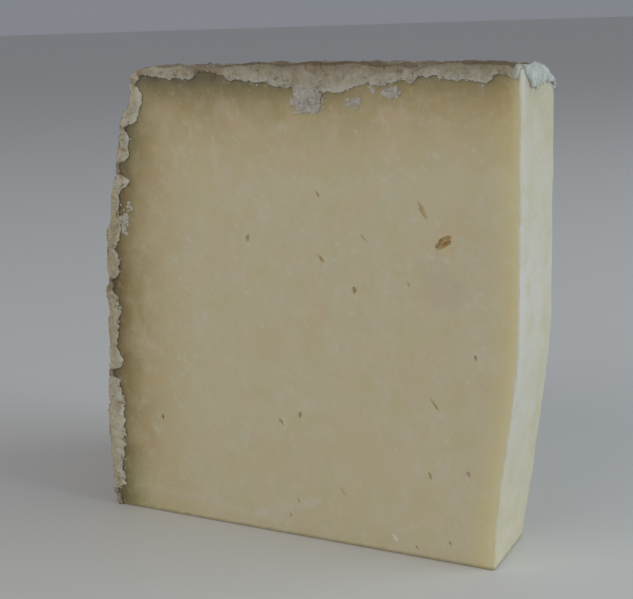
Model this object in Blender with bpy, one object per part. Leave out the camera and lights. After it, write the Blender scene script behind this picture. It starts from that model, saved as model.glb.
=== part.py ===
# A wedge of a tall rinded cheese, standing on the cut that halved the wheel.
# The wedge has a flat rinded top, a bulging rinded side, two radial cut faces and a cut-off nose.
# Metres, +Z up, with the origin under the middle of the wedge. The front cut face looks along -Y.
import math

import bmesh
import bpy
import numpy as np
from mathutils import Euler, Vector

MM = 0.001

# Driving sizes of the wheel and of the wedge cut from it
HEIGHT = 125 * MM
WHEEL_RADIUS = 195.6 * MM
WEDGE_ANGLE = math.radians(20)
AXIS_TO_CORNER = 80 * MM

# The wheel's top falls away a little behind the front cut face, and more at the nose's back corner:
# how much, where across the nose it starts, its reach to full, and its reach back from the nose
BACK_FALL = math.tan(math.radians(2.4))
NOSE_DROP = 5.2 * MM
DROP_START = 11 * MM
DROP_REACH = 16 * MM
DROP_BACK = 12 * MM
DROP_POWER = 2.2
DROP_HEIGHT_POWER = 6

# Where the front face's near bottom corner stands in the part's own frame
CORNER = Vector((54.6 * MM, -33.1 * MM, 0))

# The rinded side is upright low down, then leans in and turns over a round shoulder
LEAN_START = 20 * MM
LEAN_IN = 15.2 * MM
LEAN_POWER = 2.0
SHOULDER_RADIUS = 6 * MM
FOOT_PULL = 1.0 * MM
FOOT_HEIGHT = 6 * MM

# The nose leans out from its foot and is upright above the kink
NOSE_LEAN = 6.1 * MM
NOSE_KINK = 64 * MM
CHIP_WIDTH = 8 * MM
CHIP_DEPTH = 6 * MM
CHIP_HEIGHT = 17 * MM

# Rind: how far the paste stays under it, how thick its shell is, and its rough relief,
# which is two sets of waves, each with its rise, seed, shortest and longest wave
PASTE_INSET = 2.1 * MM
RIND_SHELL = 4.4 * MM
ROLLING = (0.18 * MM, 11, 10 * MM, 30 * MM)
NODULES = (0.28 * MM, 12, 5.5 * MM, 9 * MM)
RELIEF_WAVES = 12

# Dents and swellings of the rind's outline near the front face: place or height, reach, change
DENT_REACH_BACK = 30 * MM
TOP_DENTS = ((-75, 2.2, -0.6), (-63, 6, 0.5), (-48, 4, 0.4), (-35, 4.5, 0.4), (-26, 3, -0.3),
             (-19.5, 5.5, -0.4), (-16.4, 1.5, -0.4), (-10.5, 2, 0.3), (3.5, 5, -0.9))
SIDE_DENTS = ((41, 9, -1.1), (54, 6, -0.8), (67, 2.5, -1.0), (79, 8, 0.9), (93, 5, 0.5),
              (110, 3, 0.4), (117.5, 4.5, -1.2), (122.4, 1.7, -0.7))

# The rind's lip stands a little proud of the cut faces and hangs over them to a ragged edge
LIP_PROUD = 0.85 * MM
LIP_ROOT = 2 * MM
LIP_RAGGED = 0.2 * MM
LEAST_LIP = 0.8 * MM
LEAST_ROOT = 2.7 * MM
ROOT_BACK = 0.8 * MM
LIP_BELOW = 0.15 * MM
NOSE_GAP = 0.4 * MM

# A lip thinner than this ends in a shallow groove: how much shallower, and over what change of depth
THIN_LIP = 3.2 * MM
THIN_FADE = 1.4 * MM
ROOT_LIFT = 1.5 * MM
LIP_SECTION = ((0.93, -0.3), (1.0, 0.45), (0.86, 0.9), (0.55, 1.0), (0.22, 0.8), (0.05, 0.3))

# How deep the lip hangs over the cut faces: place along the top, height up the side or place
# across the nose, and the depth there
TOP_EDGE = (
    (-96, 2.3), (-92, 2.8), (-89, 3.2), (-84, 3.5), (-81.5, 3.2), (-79, 1.7), (-74, 1.8), (-72, 2.6),
    (-70, 3.5), (-64, 3.9), (-60, 4.0), (-56.5, 5.3), (-52, 5.7), (-51, 8.6), (-49, 9.6), (-45.2, 9.3),
    (-44.2, 6.9), (-41, 6.8), (-38.5, 6.1), (-34.8, 5.7), (-31.5, 4.7), (-28.5, 5.3), (-24.4, 4.6),
    (-20.6, 4.5), (-18.2, 3.1), (-14.2, 2.8), (-12.6, 4.0), (-9, 4.4), (-5.8, 4.1), (-3.4, 4.9),
    (-1.4, 4.6), (0.5, 2.8), (2.1, 2.9), (3.9, 3.6), (5.2, 4.0), (5.7, 1.0), (7, 1.0),
)
SIDE_EDGE = (
    (0, 2.1), (3, 2.0), (4.8, 1.5), (6.5, 4.1), (9, 4.6), (11.2, 3.3), (14, 4.9), (20, 5.7), (30, 5.8),
    (34, 5.5), (36.5, 4.6), (38.5, 4.5), (39.5, 2.6), (41, 2.4), (42.3, 4.9), (43.9, 6.0), (45.4, 5.4),
    (48, 4.0), (51, 4.7), (53, 3.6), (55.7, 4.4), (61.5, 4.5), (64, 1.8), (67, 1.9), (69.6, 4.2),
    (73, 4.3), (75.6, 2.6), (78, 3.4), (81, 4.0), (84, 3.6), (87, 2.5), (92.8, 2.5), (94.3, 4.5),
    (95.9, 5.0), (96.9, 1.5), (98.2, 0.9), (99.6, 1.0), (100.7, 3.0), (102.5, 4.2), (103.7, 3.9),
    (105, 3.0), (107.4, 3.5), (109, 2.1), (110.6, 2.8), (112, 4.8), (115, 5.5), (117, 5.8), (118.4, 5.2),
    (120, 4.0), (121.6, 3.3), (125, 2.4),
)
NOSE_EDGE = ((2.3, 3.0), (3.2, 3.9), (6.9, 4.7), (11.7, 5.5), (15.6, 4.6), (18.8, 3.6), (23.8, 2.6), (27, 2.4))
NOSE_LIP_START = 2.3 * MM

# Loose flakes of rind that cling to the front face: place, drop from the top, radius
FLAKES = ((-30.8, 6.2, 0.8), (-27.4, 7.0, 1.1), (-25.0, 6.8, 1.0), (-35.4, 9.2, 0.7),
          (-50.0, 10.2, 1.1), (-46.2, 10.2, 1.0), (-104.0, 38.0, 0.9), (-105.4, 41.0, 1.1),
          (-105.9, 44.0, 1.2))
SMALL_FLAKES = 22
FLAKE_SEED = 5

# Openings in the front face: place, height, length, width, lean from upright
FRONT_OPENINGS = (
    (-13.2, 82.3, 5.0, 2.8, -50),
    (-18.3, 90.2, 4.0, 1.2, 40),
    (-46.1, 93.0, 2.0, 0.9, 30),
    (-66.9, 81.0, 2.2, 1.3, -20),
    (-45.7, 76.6, 2.8, 1.3, 45),
    (-33.9, 82.7, 2.0, 0.9, 50),
    (-36.7, 69.3, 1.9, 1.2, 10),
    (-22.1, 71.7, 1.3, 1.0, 0),
    (-96.9, 28.7, 1.6, 1.2, 20),
    (-59.1, 31.9, 2.2, 1.2, 35),
    (-53.3, 34.6, 2.0, 1.0, -10),
    (-15.5, 41.6, 4.2, 1.0, 35),
    (-6.9, 24.7, 2.0, 1.0, 20),
    (-16.9, 22.8, 2.4, 0.9, 0),
    (-41.3, 14.8, 2.4, 1.0, 40),
    (-4.8, 54.7, 1.8, 1.1, 15),
)
OPENING_DEPTH = 1.1 * MM
BACK_OPENINGS = 14
OPENING_SEED = 23

TOP_STATIONS = 40
SHOULDER_STATIONS = 5
SIDE_STATIONS = 48
ACROSS_STATIONS = 15
NOSE_STATIONS = 17
BLOCK_ROWS = 16
BELOW_FLOOR = 3 * MM

PASTE_COLOUR = (0.74, 0.66, 0.42, 1)
SLAB = 300 * MM


def smooth(t):
    t = np.clip(t, 0, 1)
    return t * t * (3 - 2 * t)


def side_radius(z):
    """Wheel radius at height z: full at the bulge, leaning in above it and a little at the foot."""
    lean = LEAN_IN * np.clip((z - LEAN_START) / (HEIGHT - LEAN_START), 0, 1) ** LEAN_POWER
    foot = FOOT_PULL * np.clip(1 - z / FOOT_HEIGHT, 0, 1) ** 2
    return WHEEL_RADIUS - lean - foot


def nose_lean(z):
    """How far the nose stands out past the corner at height z."""
    return NOSE_LEAN * smooth(z / NOSE_KINK)


def side_tilt(z):
    """Angle of the side's outward normal above the horizontal."""
    step = 0.2 * MM
    return np.arctan2(side_radius(z - step) - side_radius(z + step), 2 * step)


def shoulder():
    """Height where the shoulder starts, its tilt there, and the centre of its arc."""
    start = HEIGHT - SHOULDER_RADIUS
    for _ in range(12):
        tilt = float(side_tilt(start))
        start = HEIGHT - SHOULDER_RADIUS * (1 - math.sin(tilt))
    centre = float(side_radius(start)) - SHOULDER_RADIUS * math.cos(tilt)
    return start, tilt, centre, start - SHOULDER_RADIUS * math.sin(tilt)


def rind_profile(nose_radius):
    """Radius, height and outward normal of each station, along the top and down the side."""
    start, tilt, centre, centre_height = shoulder()
    top = np.linspace(nose_radius, centre, TOP_STATIONS, endpoint=False)
    turn = np.linspace(math.pi / 2, tilt, SHOULDER_STATIONS, endpoint=False)
    side = np.linspace(start, -BELOW_FLOOR, SIDE_STATIONS)
    side_turn = side_tilt(side)
    radius = np.concatenate([top, centre + SHOULDER_RADIUS * np.cos(turn), side_radius(side)])
    height = np.concatenate([np.full(TOP_STATIONS, HEIGHT), centre_height + SHOULDER_RADIUS * np.sin(turn), side])
    angle = np.concatenate([np.full(TOP_STATIONS, math.pi / 2), turn, side_turn])
    return radius, height, np.cos(angle), np.sin(angle)


def waves(points, seed, shortest, longest, count):
    """Sum of plane waves with seeded directions, lengths and phases, about -1 to 1."""
    draw = np.random.default_rng(seed)
    directions = draw.normal(size=(count, 3))
    directions /= np.linalg.norm(directions, axis=1, keepdims=True)
    lengths = draw.uniform(shortest, longest, count)
    phases = draw.uniform(0, 2 * math.pi, count)
    turns = points @ (directions / lengths[:, None]).T * 2 * math.pi + phases
    return np.sin(turns).sum(axis=-1) / math.sqrt(count)


def relief(points):
    """How far the rind's surface stands out at each point: drawn waves, then the dents."""
    lift = 0
    for rise, seed, shortest, longest in (ROLLING, NODULES):
        lift = lift + rise * waves(points, seed, shortest, longest, RELIEF_WAVES)
    place = points[..., 0] - CORNER.x
    near_front = np.exp(-(((points[..., 1] - CORNER.y) / DENT_REACH_BACK) ** 2))
    rim = AXIS_TO_CORNER - shoulder()[2]
    for middle, reach, change in TOP_DENTS:
        dent = np.exp(-(((place / MM - middle) / reach) ** 2)) * near_front
        lift = lift + change * MM * dent * (place > rim)
    for middle, reach, change in SIDE_DENTS:
        dent = np.exp(-(((points[..., 2] / MM - middle) / reach) ** 2)) * near_front
        lift = lift + change * MM * dent * (place <= rim)
    return lift


def edge_depth(place, edge, seed, flipped=False):
    """Depth of the lip along an edge: straight between the edge's points, with a ragged wave."""
    spots, depths = np.array(edge).T * MM
    if flipped:
        place = spots[0] + spots[-1] - place
    depth = np.interp(place, spots, depths)
    along = np.stack([place, 0 * place, 0 * place], axis=-1)
    return depth + LIP_RAGGED * waves(along, seed, 4 * MM, 9 * MM, 8)


def wheel_point(radius, angle, height):
    """A place given from the wheel's axis, in the part's frame."""
    x = CORNER.x + AXIS_TO_CORNER - radius * np.cos(angle)
    y = CORNER.y + radius * np.sin(angle)
    return np.stack(np.broadcast_arrays(x, y, height), axis=-1)


def lip_root(depth):
    """Where the lip's section starts in the paste, behind its edge."""
    sunk = LIP_ROOT - ROOT_LIFT * smooth((THIN_LIP - depth) / THIN_FADE)
    return np.maximum(depth - ROOT_BACK, LEAST_ROOT), -sunk


def lip_rows(radius, height, lift, out, up, angle, depth, proud, outward):
    """The lip's section at one cut face, from its root in the paste to the rind's surface."""
    rows = []
    depth = np.maximum(depth + lift, LEAST_LIP)
    steps = [lip_root(depth)]
    steps += [(depth * share, proud * rise) for share, rise in LIP_SECTION]
    for deep, rise in steps:
        point = wheel_point(radius - out * deep, angle, height - up * deep)
        rows.append(point + rise[:, None] * outward)
    return rows


def closed_grid(rows):
    """Mesh of rings joined along their stations, with both ends capped. Rows are (ring, station, xyz)."""
    grid = np.stack(rows)
    mesh = bmesh.new()
    rings = [[mesh.verts.new(point) for point in grid[:, station]] for station in range(grid.shape[1])]
    around = len(rows)
    for first, second in zip(rings[:-1], rings[1:]):
        for i in range(around):
            j = (i + 1) % around
            mesh.faces.new((first[i], first[j], second[j], second[i]))
    mesh.faces.new(rings[0])
    mesh.faces.new(rings[-1])
    bmesh.ops.triangulate(mesh, faces=mesh.faces[:])
    bmesh.ops.recalc_face_normals(mesh, faces=mesh.faces[:])
    return mesh


def new_object(name, mesh, collection):
    data = bpy.data.meshes.new(name)
    mesh.to_mesh(data)
    mesh.free()
    thing = bpy.data.objects.new(name, data)
    collection.objects.link(thing)
    return thing


def rind_shell(collection):
    """Top and side rind in one rough shell, wrapped over both cut faces as a lobed lip."""
    nose = AXIS_TO_CORNER - NOSE_LEAN + NOSE_GAP
    radius, height, out, up = rind_profile(nose)
    on_top = np.arange(len(radius)) < TOP_STATIONS
    rim = radius[TOP_STATIONS]

    def radius_at(angle):
        """The top's stations start in the nose's plane, which is further from the axis at the back."""
        end = nose / math.cos(angle)
        return np.where(on_top, end + (radius - nose) * (rim - end) / (rim - nose), radius)

    def surface_at(angle):
        r = radius_at(angle)
        lift = relief(wheel_point(r, angle, height))
        return r + out * lift, height + up * lift, lift

    along = np.stack([AXIS_TO_CORNER - radius, 0 * radius, height], axis=-1)
    x_place = AXIS_TO_CORNER - radius
    front = np.where(on_top, edge_depth(x_place, TOP_EDGE, 31), edge_depth(height, SIDE_EDGE, 32))
    back = np.where(on_top, edge_depth(x_place, TOP_EDGE, 33, True), edge_depth(height, SIDE_EDGE, 34, True))
    swell = 1 + 0.35 * waves(along, 35, 5 * MM, 14 * MM, 8)
    proud = LIP_PROUD * np.clip(swell, 0.35, 1.6)
    facing_front = np.array((0, -1, 0))
    facing_back = np.array((math.sin(WEDGE_ANGLE), math.cos(WEDGE_ANGLE), 0))

    rows = lip_rows(*surface_at(0.0), out, up, 0.0, front, proud, facing_front)
    for angle in np.linspace(0, WEDGE_ANGLE, ACROSS_STATIONS):
        r, z, _ = surface_at(angle)
        rows.append(wheel_point(r, angle, z))
    rows += lip_rows(*surface_at(WEDGE_ANGLE), out, up, WEDGE_ANGLE, back, proud, facing_back)[::-1]
    for share in (0.8, 0.5, 0.2):
        angle = WEDGE_ANGLE * share
        rows.append(wheel_point(radius_at(angle) - out * RIND_SHELL, angle, height - up * RIND_SHELL))
    return new_object("rind_shell", closed_grid(rows), collection)


def paste_block(collection):
    """The cut block under the rind: level sections with the barrel side, the nose and its chip."""
    rows = []
    heights = np.linspace(-BELOW_FLOOR, HEIGHT - PASTE_INSET, BLOCK_ROWS)
    nose = AXIS_TO_CORNER - nose_lean(heights)
    rim = np.minimum(side_radius(heights), shoulder()[2] + 0.4 * SHOULDER_RADIUS) - PASTE_INSET
    rim = np.where(heights > shoulder()[0], rim, side_radius(heights) - PASTE_INSET)
    chip = np.clip(1 - heights / CHIP_HEIGHT, 0, 1) ** 1.3
    back_nose = nose / math.cos(WEDGE_ANGLE)
    for angle in np.linspace(0, WEDGE_ANGLE, 9):
        rows.append(wheel_point(rim, angle, heights))
    rows.append(wheel_point(back_nose + CHIP_WIDTH * chip + 0.5 * MM, WEDGE_ANGLE, heights))
    corner = wheel_point(back_nose, WEDGE_ANGLE, heights)
    corner[:, 1] -= CHIP_DEPTH * chip
    rows.append(corner)
    rows.append(wheel_point(nose, 0.0, heights))
    return new_object("cheddar_wedge", closed_grid(rows), collection)


def nose_lip(collection):
    """The rind's lip over the end face at the nose, with one long lobe."""
    nose_x = CORNER.x + NOSE_LEAN
    thick = (AXIS_TO_CORNER - NOSE_LEAN) * math.tan(WEDGE_ANGLE)
    across = np.linspace(NOSE_LIP_START, thick - 0.3 * MM, NOSE_STATIONS)
    ends = np.sin(np.linspace(0.12, math.pi - 0.12, NOSE_STATIONS)) ** 0.35
    depth = np.maximum(edge_depth(across, NOSE_EDGE, 36), LEAST_LIP) * ends
    proud = LIP_PROUD * ends
    edge = np.stack([np.full(across.shape, nose_x), CORNER.y + across, np.full(across.shape, HEIGHT)], axis=-1)
    surface = HEIGHT + relief(edge) - LIP_BELOW
    steps = [lip_root(depth)]
    steps += [(depth * share, proud * rise) for share, rise in LIP_SECTION]
    steps += [(0.4 * MM, -LIP_ROOT)]
    rows = []
    for deep, rise in steps:
        rows.append(np.stack(np.broadcast_arrays(nose_x + rise, edge[:, 1], surface - deep), axis=-1))
    return new_object("nose_lip", closed_grid(rows), collection)


def pebble(name, place, size, turn, fineness, roughness, draw, collection):
    """A small uneven lump: an icosphere stretched to size, its points pushed in and out."""
    mesh = bmesh.new()
    bmesh.ops.create_icosphere(mesh, subdivisions=fineness, radius=1)
    spin = Euler(turn).to_matrix()
    for vert in mesh.verts:
        stretch = 1 + roughness * draw.uniform(-1, 1)
        vert.co = spin @ Vector(vert.co[i] * size[i] * stretch for i in range(3)) + Vector(place)
    return new_object(name, mesh, collection)


def flakes(collection):
    """Flakes of rind that cling to the cut faces near the lip."""
    draw = np.random.default_rng(FLAKE_SEED)
    for i, (x, drop, size) in enumerate(FLAKES):
        place = (CORNER.x + x * MM, CORNER.y, HEIGHT - drop * MM)
        stretch = (size * MM, 0.6 * size * MM, 0.8 * size * MM)
        pebble(f"flake_{i}", place, stretch, (0, draw.uniform(-1, 1), 0), 1, 0.25, draw, collection)
    for i in range(SMALL_FLAKES):
        size = draw.uniform(0.45, 0.75) * MM
        at_back = i % 2
        on_top = draw.uniform() < 0.5
        drop = draw.uniform(5.5, 9) * MM
        radius = draw.uniform(0.5, 0.87) * WHEEL_RADIUS if on_top else 0
        height = HEIGHT - drop if on_top else draw.uniform(0.1, 0.85) * HEIGHT
        radius = radius or side_radius(height) - drop
        place = wheel_point(radius, WEDGE_ANGLE * at_back, height)
        pebble(f"small_flake_{i}", place, (size, size, size), (0, 0, 0), 1, 0.25, draw, collection)


def openings(collection):
    """Small mechanical openings in the paste, as stretched lumps that cut the faces."""
    draw = np.random.default_rng(OPENING_SEED)
    for i, (x, z, long, wide, lean) in enumerate(FRONT_OPENINGS):
        place = (CORNER.x + x * MM, CORNER.y, z * MM)
        size = (wide * MM / 2, OPENING_DEPTH * min(1, wide), long * MM / 2)
        turn = (0, -math.radians(lean), 0)
        pebble(f"opening_{i}", place, size, turn, 2 if wide > 2 else 1, 0.12, draw, collection)
    for i in range(BACK_OPENINGS):
        height = draw.uniform(0.08, 0.88) * HEIGHT
        radius = draw.uniform(0.5, 0.9) * WHEEL_RADIUS
        size = (draw.uniform(0.4, 0.9) * MM, OPENING_DEPTH, draw.uniform(0.7, 1.6) * MM)
        turn = (0, draw.uniform(-1, 1), -WEDGE_ANGLE)
        place = wheel_point(radius, WEDGE_ANGLE, height)
        pebble(f"back_opening_{i}", place, size, turn, 1, 0.12, draw, collection)


def floor_slab(collection):
    """Everything under the resting plane."""
    mesh = bmesh.new()
    bmesh.ops.create_cube(mesh, size=SLAB)
    bmesh.ops.translate(mesh, verts=mesh.verts[:], vec=(0, 0, -SLAB / 2))
    return new_object("floor_slab", mesh, collection)


def boolean(thing, collection, operation):
    """Joins or cuts a whole collection at once, applies it and removes the collection's objects."""
    modifier = thing.modifiers.new(operation.lower(), "BOOLEAN")
    modifier.operation = operation
    modifier.operand_type = "COLLECTION"
    modifier.collection = collection
    modifier.solver = "MANIFOLD"
    graph = bpy.context.evaluated_depsgraph_get()
    done = bpy.data.meshes.new_from_object(thing.evaluated_get(graph))
    thing.modifiers.clear()
    thing.data = done
    for helper in list(collection.objects):
        bpy.data.objects.remove(helper)


def keep_outer_surface(thing):
    """Fills any hollow that fusing sealed and drops any loose scrap: only the largest surface stays."""
    mesh = bmesh.new()
    mesh.from_mesh(thing.data)
    left = set(mesh.verts)
    shells = []
    while left:
        shell = {left.pop()}
        edge_of_growth = list(shell)
        while edge_of_growth:
            vert = edge_of_growth.pop()
            near = {edge.other_vert(vert) for edge in vert.link_edges} & left
            left -= near
            shell |= near
            edge_of_growth += near
        shells.append(shell)
    shells.sort(key=len)
    for shell in shells[:-1]:
        bmesh.ops.delete(mesh, geom=list(shell), context="VERTS")
    mesh.to_mesh(thing.data)
    mesh.free()


def lower_back(thing):
    """Makes the wedge less tall behind its front face, in step with the distance, and at the nose's back corner."""
    places = np.empty(len(thing.data.vertices) * 3, dtype=np.float32)
    thing.data.vertices.foreach_get("co", places)
    places = places.reshape(-1, 3)
    behind = places[:, 1] - CORNER.y
    share = places[:, 2] / HEIGHT
    corner = np.clip((behind - DROP_START) / DROP_REACH, 0, 1) ** DROP_POWER
    corner *= np.exp(-(((places[:, 0] - CORNER.x - NOSE_LEAN) / DROP_BACK) ** 2))
    places[:, 2] -= share * BACK_FALL * behind + share ** DROP_HEIGHT_POWER * NOSE_DROP * corner
    thing.data.vertices.foreach_set("co", places.ravel())
    thing.data.update()


def paste_material():
    material = bpy.data.materials.new("cheese_paste")
    material.use_nodes = True
    shader = material.node_tree.nodes["Principled BSDF"]
    shader.inputs["Base Color"].default_value = PASTE_COLOUR
    shader.inputs["Roughness"].default_value = 0.55
    shader.inputs["Metallic"].default_value = 0
    return material


def main():
    for thing in list(bpy.data.objects):
        bpy.data.objects.remove(thing)
    scene = bpy.context.scene.collection
    parts = bpy.data.collections.new("cheddar_wedge")
    joined = bpy.data.collections.new("joined_shapes")
    cutters = bpy.data.collections.new("cutters")
    for collection in (parts, joined, cutters):
        scene.children.link(collection)
    cutters.hide_render = True

    wedge = paste_block(parts)
    rind_shell(joined)
    nose_lip(joined)
    flakes(joined)
    boolean(wedge, joined, "UNION")
    floor_slab(cutters)
    openings(cutters)
    for cutter in cutters.objects:
        cutter.display_type = "WIRE"
        cutter.hide_render = True
    boolean(wedge, cutters, "DIFFERENCE")
    keep_outer_surface(wedge)
    lower_back(wedge)
    wedge.data.materials.clear()
    wedge.data.materials.append(paste_material())


main()
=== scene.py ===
# Looks of the cheese wedge: fine cut paste, rough rind with its lip, crumbs, light and camera.
import math

import bmesh
import bpy
import numpy as np
from mathutils import Euler, Matrix, Vector


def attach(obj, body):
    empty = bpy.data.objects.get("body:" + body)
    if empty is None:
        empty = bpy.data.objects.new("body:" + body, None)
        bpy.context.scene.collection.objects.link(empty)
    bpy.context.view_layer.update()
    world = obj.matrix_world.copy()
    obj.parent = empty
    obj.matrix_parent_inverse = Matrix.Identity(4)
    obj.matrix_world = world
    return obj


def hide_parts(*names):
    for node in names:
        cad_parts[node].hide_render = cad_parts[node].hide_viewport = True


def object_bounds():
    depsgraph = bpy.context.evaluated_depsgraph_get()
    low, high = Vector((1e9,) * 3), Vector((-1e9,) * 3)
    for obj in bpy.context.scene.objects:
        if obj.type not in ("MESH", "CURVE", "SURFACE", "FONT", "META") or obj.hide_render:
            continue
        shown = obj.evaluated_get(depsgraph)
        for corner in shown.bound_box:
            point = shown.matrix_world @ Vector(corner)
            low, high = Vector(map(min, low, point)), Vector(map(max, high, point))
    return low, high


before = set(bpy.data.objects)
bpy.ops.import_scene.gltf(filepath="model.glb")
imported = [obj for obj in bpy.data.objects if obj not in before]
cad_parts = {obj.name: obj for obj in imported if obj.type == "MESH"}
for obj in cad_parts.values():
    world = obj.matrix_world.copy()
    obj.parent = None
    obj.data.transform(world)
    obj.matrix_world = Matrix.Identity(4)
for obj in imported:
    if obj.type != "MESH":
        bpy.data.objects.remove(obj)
cadLow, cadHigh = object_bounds()
mm = 0.001
nodeName = "cheddar_wedge"

wheel = {  # the wheel and the wedge cut from it, in mm and degrees, as its solid has them
    "height": 125, "radius": 195.6, "angle": 20, "axisToCorner": 80,
    "cornerX": 54.6, "frontY": -33.1,  # where the front face's near bottom corner stands
    "leanStart": 20, "leanIn": 15.2, "leanPower": 2.0, "shoulder": 6,
    "footPull": 1.0, "footHeight": 6,
    "noseLean": 6.1, "noseKink": 64, "noseGap": 0.4,
    "chipWidth": 8, "chipDepth": 6, "chipHeight": 17,
    "backFall": math.tan(math.radians(2.4)),  # the top falls away a little behind the front face
    "noseDrop": 5.2, "dropStart": 11, "dropReach": 16, "dropBack": 12,  # and more at the nose's back corner
    "dropPower": 2.2, "dropHeightPower": 6,
}
wedgeAngle = math.radians(wheel["angle"])
cornerX, frontY, wheelTop = wheel["cornerX"], wheel["frontY"], wheel["height"]
axisX = cornerX + wheel["axisToCorner"]


# shared maths, all in mm

def smooth(t):  # 3t^2 - 2t^3 between 0 and 1
    t = np.clip(t, 0, 1)
    return t * t * (3 - 2 * t)


def hump(value, middle, reach):  # e^-(t^2), which is 1 at the middle
    return np.exp(-(((value - middle) / reach) ** 2))


def sideRadius(z):  # wheel radius less a power curve above the bulge and a square one at the foot
    rise = np.clip((z - wheel["leanStart"]) / (wheelTop - wheel["leanStart"]), 0, 1)
    foot = wheel["footPull"] * np.clip(1 - z / wheel["footHeight"], 0, 1) ** 2
    return wheel["radius"] - wheel["leanIn"] * rise ** wheel["leanPower"] - foot


def noseLean(z):  # the nose stands out by a smooth step up to its kink
    return wheel["noseLean"] * smooth(z / wheel["noseKink"])


def sideTilt(z):  # slope of the side's outward normal, from two near radii
    return np.arctan2(sideRadius(z - 0.2) - sideRadius(z + 0.2), 0.4)


def shoulderArc():  # start height, tilt, centre radius and centre height of the arc that meets side and top
    start = wheelTop - wheel["shoulder"]
    for _ in range(12):
        tilt = float(sideTilt(start))
        start = wheelTop - wheel["shoulder"] * (1 - math.sin(tilt))
    centre = float(sideRadius(start)) - wheel["shoulder"] * math.cos(tilt)
    return start, tilt, centre, start - wheel["shoulder"] * math.sin(tilt)


arcStart, arcTilt, arcRadius, arcHeight = shoulderArc()


def outerRadius(z):  # side radius, and above the shoulder's start its circle
    circle = arcRadius + np.sqrt(np.clip(wheel["shoulder"] ** 2 - (z - arcHeight) ** 2, 0, None))
    return np.where(z > arcStart, circle, sideRadius(z))


def joined(x, y, z):  # three coordinates as one array of places
    return np.stack(np.broadcast_arrays(x, y, z), axis=-1)


def wheelPoint(radius, angle, z):  # polar place about the wheel's axis, turned into x, y, z
    return joined(axisX - radius * np.cos(angle), frontY + radius * np.sin(angle), z)


def waves(points, seed, shortest, longest, count):  # sum of plane waves with drawn directions and lengths
    draw = np.random.default_rng(seed)
    directions = draw.normal(size=(count, 3))
    directions /= np.linalg.norm(directions, axis=1, keepdims=True)
    lengths = draw.uniform(shortest, longest, count)
    phases = draw.uniform(0, 2 * math.pi, count)
    turns = points @ (directions / lengths[:, None]).T * 2 * math.pi + phases
    return np.sin(turns).sum(axis=-1) / math.sqrt(count)


def hashed(cells, seed):  # a repeatable number from 0 to 1 for each whole-number cell
    n = cells @ np.array((374761393, 668265263, 1442695041)) + seed * 1274126177
    n = (n & 0xFFFFFFFF) ^ ((n & 0xFFFFFFFF) >> 13)
    n = (n * 1274126177) & 0xFFFFFFFF
    return ((n ^ (n >> 16)) & 0xFFFFFF) / 0xFFFFFF


def valueNoise(points, seed):  # numbers at whole-number corners, blended across each cell, from -1 to 1
    base = np.floor(points).astype(np.int64)
    part = points - base
    fade = part ** 3 * (part * (part * 6 - 15) + 10)
    total = 0
    for corner in np.ndindex(2, 2, 2):
        corner = np.array(corner)
        weight = np.prod(np.where(corner, fade, 1 - fade), axis=-1)
        total = total + weight * hashed(base + corner, seed)
    return total * 2 - 1


def fractal(points, size, octaves, seed):  # value noise added at halved sizes and heights
    total, rise = 0, 1.0
    for octave in range(octaves):
        total = total + rise * valueNoise(points / size * 2 ** octave, seed + octave)
        rise *= 0.5
    return total


def lumps(points, size, seed):  # distances to the two nearest of one drawn point a cell
    scaled = points / size
    base = np.floor(scaled).astype(np.int64)
    nearest = np.full(scaled.shape[:-1], 9.0)
    second = nearest
    for step in np.ndindex(3, 3, 3):
        cell = base + np.array(step) - 1
        spot = cell + np.stack([hashed(cell, seed + axis) for axis in range(3)], axis=-1)
        away = np.sum((scaled - spot) ** 2, axis=-1)
        second = np.minimum(second, np.maximum(nearest, away))
        nearest = np.minimum(nearest, away)
    return np.sqrt(nearest), np.sqrt(second)


def settled(points):  # less tall behind the front face in step with the distance, and at the nose's back corner
    points = points.copy()
    behind = points[:, 1] - frontY
    share = points[:, 2] / wheelTop
    corner = np.clip((behind - wheel["dropStart"]) / wheel["dropReach"], 0, 1) ** wheel["dropPower"]
    corner *= hump(points[:, 0] - cornerX, wheel["noseLean"], wheel["dropBack"])
    points[:, 2] -= share * wheel["backFall"] * behind
    points[:, 2] -= np.abs(share) ** wheel["dropHeightPower"] * wheel["noseDrop"] * corner
    return points


def gridNormals(grid):  # cross product of the steps around, where each ring closes on itself, and along
    around = np.roll(grid, -1, axis=0) - np.roll(grid, 1, axis=0)
    normal = np.cross(around, np.gradient(grid, axis=1))
    return normal / np.maximum(np.linalg.norm(normal, axis=-1, keepdims=True), 1e-9)


def meshFrom(name, points, faces, boxed=True, home=None):  # places in mm are settled and turned into metres
    mesh = bpy.data.meshes.new(name)
    mesh.vertices.add(len(points))
    places = settled(points) * mm
    if boxed:  # nothing stands out of the solid's own box
        places = np.clip(places, cadLow, cadHigh)
    mesh.vertices.foreach_set("co", places.astype(np.float32).ravel())
    sides = [len(face) for face in faces]
    corners = np.concatenate(list(faces))
    mesh.loops.add(len(corners))
    mesh.loops.foreach_set("vertex_index", corners)
    mesh.polygons.add(len(sides))
    mesh.polygons.foreach_set("loop_start", np.concatenate([[0], np.cumsum(sides)[:-1]]))
    mesh.update(calc_edges=True)
    mesh.validate()
    mesh.shade_smooth()
    thing = bpy.data.objects.new(name, mesh)
    (home or bpy.context.scene.collection).objects.link(thing)
    return thing


def closedTube(name, grid):  # rings joined along their stations, with both ends capped
    around, along = grid.shape[:2]
    index = np.arange(around * along).reshape(around, along)
    nextRing = np.roll(index, -1, axis=0)
    quads = np.stack([index[:, :-1], nextRing[:, :-1], nextRing[:, 1:], index[:, 1:]], axis=-1).reshape(-1, 4)
    faces = list(quads) + [index[::-1, 0], index[:, -1]]
    return meshFrom(name, grid.reshape(-1, 3), faces)


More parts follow.
